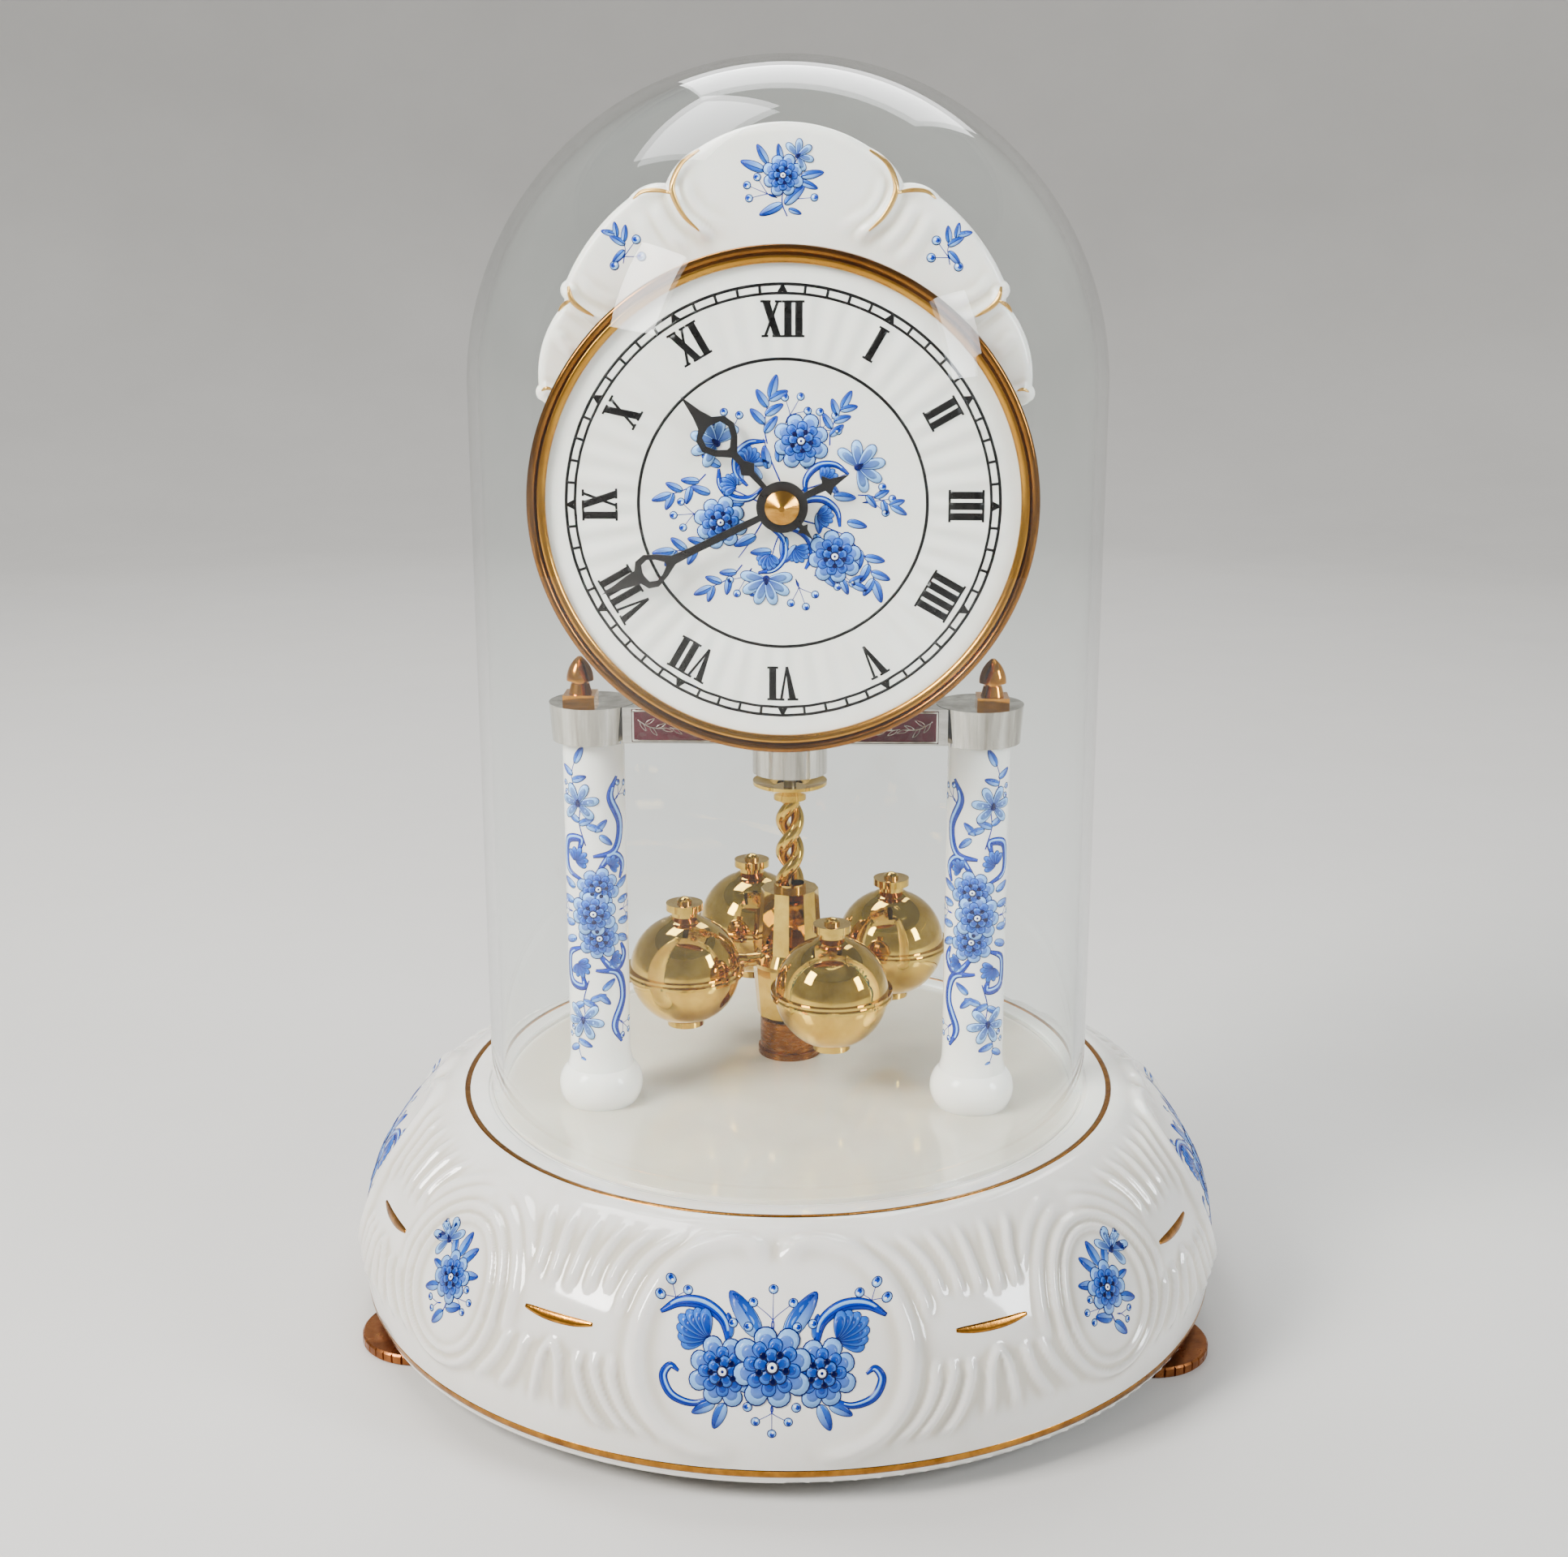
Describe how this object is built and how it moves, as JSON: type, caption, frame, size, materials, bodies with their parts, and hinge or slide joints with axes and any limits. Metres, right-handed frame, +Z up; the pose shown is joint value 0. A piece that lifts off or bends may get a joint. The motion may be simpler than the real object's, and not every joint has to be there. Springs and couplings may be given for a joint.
{
  "type": "dome clock",
  "caption": "Rotating-pendulum shelf clock: porcelain base, columns, crown and dial with a battery movement under a lift-off glass dome, on screw levelling feet.",
  "frame": {"origin": "middle of the base, on the plane that the levelling feet stand on", "axes": "+X right as one faces the dial, +Y away from the viewer, +Z up"},
  "size_m": [0.202, 0.2048, 0.2833],
  "materials": {
    "porcelain": "glazed white porcelain",
    "dome_glass": "clear polished glass",
    "gold": "polished gold plate",
    "bezel_brass": "brown gold lacquer",
    "brass": "polished",
    "silver": "polished",
    "copper": "copper lacquer",
    "bridge_metal": "satin",
    "inlay": "burgundy enamel",
    "movement": "dark brown moulding",
    "hand_black": "black",
    "steel": "plain",
    "cell_jacket": "plain jacket",
    "knob_plastic": "moulded"
  },
  "bodies": {
    "frame": {"porcelain_base": "porcelain", "column_left": "porcelain", "column_right": "porcelain", "crown_plate": "porcelain", "dial_plate": "porcelain", "foot_bushes": "brass", "finial_left": "brass", "finial_right": "brass", "hand_bush": "brass", "dial_nut": "brass", "spindle_bush": "brass", "tie_rod_left": "steel", "tie_rod_right": "steel", "tie_rod_washers": "steel", "tie_rod_nuts": "steel", "socket_screw": "steel", "bridge_screws": "steel", "dial_screws": "steel", "battery_contacts": "steel", "column_cap_left": "silver", "column_cap_right": "silver", "suspension_cup": "silver", "bridge": "bridge_metal", "bridge_panel": "inlay", "movement_case": "movement", "movement_back": "movement", "dial_drum": "bezel_brass", "bezel_ring": "bezel_brass", "pendulum_socket": "copper"},
    "dome": {"glass_dome": "dome_glass"},
    "hour_train": {"hour_pipe": "brass", "hour_hand": "hand_black"},
    "minute_train": {"minute_arbor": "steel", "minute_hand": "hand_black", "hand_nut": "brass"},
    "knob": {"setting_knob": "knob_plastic"},
    "cell": {"battery_cell": "cell_jacket"},
    "pendulum": {"pendulum_spindle": "steel", "pendulum_dish": "gold", "pendulum_rod": "gold", "pendulum_hub": "gold", "pendulum_arms": "gold", "ball_1_upper": "gold", "ball_1_lower": "gold", "ball_1_nut": "gold", "ball_2_upper": "gold", "ball_2_lower": "gold", "ball_2_nut": "gold", "ball_3_upper": "gold", "ball_3_lower": "gold", "ball_3_nut": "gold", "ball_4_upper": "gold", "ball_4_lower": "gold", "ball_4_nut": "gold"},
    "front_left_foot": {"foot_front_left": "brass"},
    "front_right_foot": {"foot_front_right": "brass"},
    "back_foot": {"foot_back": "brass"}
  },
  "joints": [
    {"name": "dome_lift", "type": "slide", "parent": "frame", "child": "dome", "axis": [0, 0, 1], "range_m": [0, 0.24]},
    {"name": "minute_hand_turn", "type": "hinge", "parent": "frame", "child": "minute_train", "pos_m": [0, -0.0378, 0.1922], "axis": [0, 1, 0], "continuous": true},
    {"name": "hour_hand_turn", "type": "hinge", "parent": "frame", "child": "hour_train", "pos_m": [0, -0.0367, 0.1922], "axis": [0, 1, 0], "continuous": true},
    {"name": "setting_knob_turn", "type": "hinge", "parent": "frame", "child": "knob", "pos_m": [0, 0.0268, 0.1722], "axis": [0, 1, 0], "continuous": true},
    {"name": "pendulum_turn", "type": "hinge", "parent": "frame", "child": "pendulum", "pos_m": [0, 0.0145, 0.12], "axis": [0, 0, 1], "range_deg": [-180, 180]},
    {"name": "cell_slide", "type": "slide", "parent": "frame", "child": "cell", "axis": [0, 1, 0], "range_m": [0, 0.032]},
    {"name": "front_left_foot_turn", "type": "hinge", "parent": "frame", "child": "front_left_foot", "pos_m": [-0.08285, -0.03517, 0], "axis": [0, 0, 1], "range_deg": [-720, 720]},
    {"name": "front_right_foot_turn", "type": "hinge", "parent": "frame", "child": "front_right_foot", "pos_m": [0.08285, -0.03517, 0], "axis": [0, 0, 1], "range_deg": [-720, 720]},
    {"name": "back_foot_turn", "type": "hinge", "parent": "frame", "child": "back_foot", "pos_m": [0, 0.09, 0], "axis": [0, 0, 1], "range_deg": [-720, 720]}
  ],
  "couplings": [
    {"joint": "hour_hand_turn", "follows": "minute_hand_turn", "ratio": 0.083333},
    {"joint": "setting_knob_turn", "follows": "minute_hand_turn", "ratio": 1}
  ]
}
